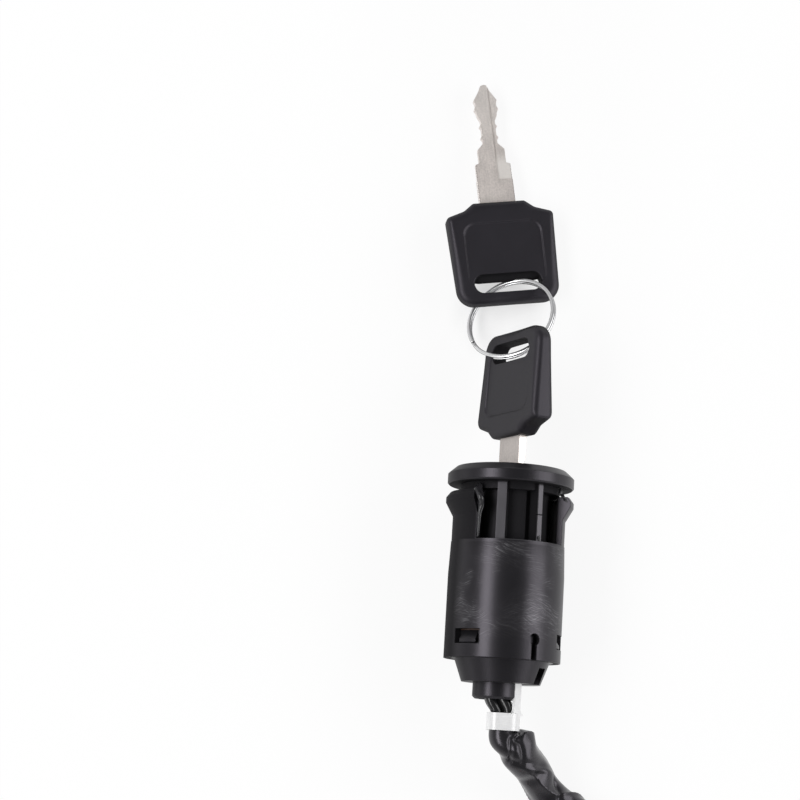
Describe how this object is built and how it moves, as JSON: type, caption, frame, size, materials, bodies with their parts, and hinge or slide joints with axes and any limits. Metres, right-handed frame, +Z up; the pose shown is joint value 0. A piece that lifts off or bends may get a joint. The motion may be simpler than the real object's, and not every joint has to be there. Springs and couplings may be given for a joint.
{
  "type": "ignition switch",
  "caption": "Round snap-in ignition switch for a panel, with its key in the lock, a spare key on a split ring, and a sleeved lead that ends in a connector.",
  "frame": {"origin": "centre of the flange's seat, on the lock's axis; the switch lies on a surface 15.75 mm below it", "axes": "+Y along the lock's axis, from the lead towards the key; +Z up as it lies; +X to the right of the view"},
  "size_m": [0.0981, 0.2417, 0.0315],
  "materials": {
    "black_moulding": "moulded black plastic with handling scratches",
    "black_cover": "moulded black plastic",
    "cast_zinc": "die-cast zinc, satin",
    "wafer_brass": "stamped brass",
    "spring_steel": "drawn spring steel",
    "seal_rubber": "black rubber",
    "pale_moulding": "natural acetal",
    "bright_steel": "polished steel",
    "contact_brass": "stamped brass",
    "phenolic": "brown phenolic",
    "zinc_plate": "bright zinc plate",
    "wire_black": "vinyl insulation",
    "wire_red": "vinyl insulation",
    "wire_brown": "vinyl insulation",
    "wire_green": "vinyl insulation",
    "sleeve_vinyl": "glossy black vinyl sleeve",
    "connector_nylon": "natural nylon",
    "key_metal": "nickel-plated brass, satin",
    "key_plastic": "fine-grained black plastic"
  },
  "bodies": {
    "switch": {"housing": "black_moulding", "contact_base": "phenolic", "fixed_contacts": "contact_brass", "bottom_cover": "black_cover", "cable_clip": "zinc_plate", "lead_tails": "wire_black", "lead_sleeve": "sleeve_vinyl", "lead_wire_1": "wire_black", "lead_wire_2": "wire_red", "lead_wire_3": "wire_brown", "lead_wire_4": "wire_green", "connector_housing": "connector_nylon", "connector_terminals": "contact_brass"},
    "plug": {"lock_plug": "cast_zinc", "wafer_1": "wafer_brass", "wafer_2": "wafer_brass", "wafer_3": "wafer_brass", "wafer_4": "wafer_brass", "wafer_5": "wafer_brass", "wafer_6": "wafer_brass", "wafer_7": "wafer_brass", "wafer_springs": "spring_steel", "plug_seal": "seal_rubber", "plug_clip": "spring_steel", "contact_rotor": "pale_moulding", "detent_ball": "bright_steel", "detent_spring": "spring_steel", "contact_bridge": "contact_brass", "contact_springs": "spring_steel"},
    "key": {"key_blade": "key_metal", "key_bow": "key_plastic"},
    "ring": {"split_ring": "bright_steel"},
    "spare": {"spare_blade": "key_metal", "spare_bow": "key_plastic"}
  },
  "joints": [
    {"name": "plug_turn", "type": "hinge", "parent": "switch", "child": "plug", "pos_m": [0, 0, 0], "axis": [0, -1, 0], "range_deg": [0, 70]},
    {"name": "key_pull", "type": "slide", "parent": "plug", "child": "key", "axis": [0, 1, 0], "range_m": [0, 0.03]},
    {"name": "ring_swing", "type": "hinge", "parent": "key", "child": "ring", "pos_m": [0, 0.0385, 0], "axis": [0.4617, 0, 0.887], "range_deg": [-70, 10]},
    {"name": "spare_swing", "type": "hinge", "parent": "ring", "child": "spare", "pos_m": [-0.0024, 0.05059, -0.01013], "axis": [-0.9803, -0.1616, 0.1131], "range_deg": [-30, 30]}
  ]
}
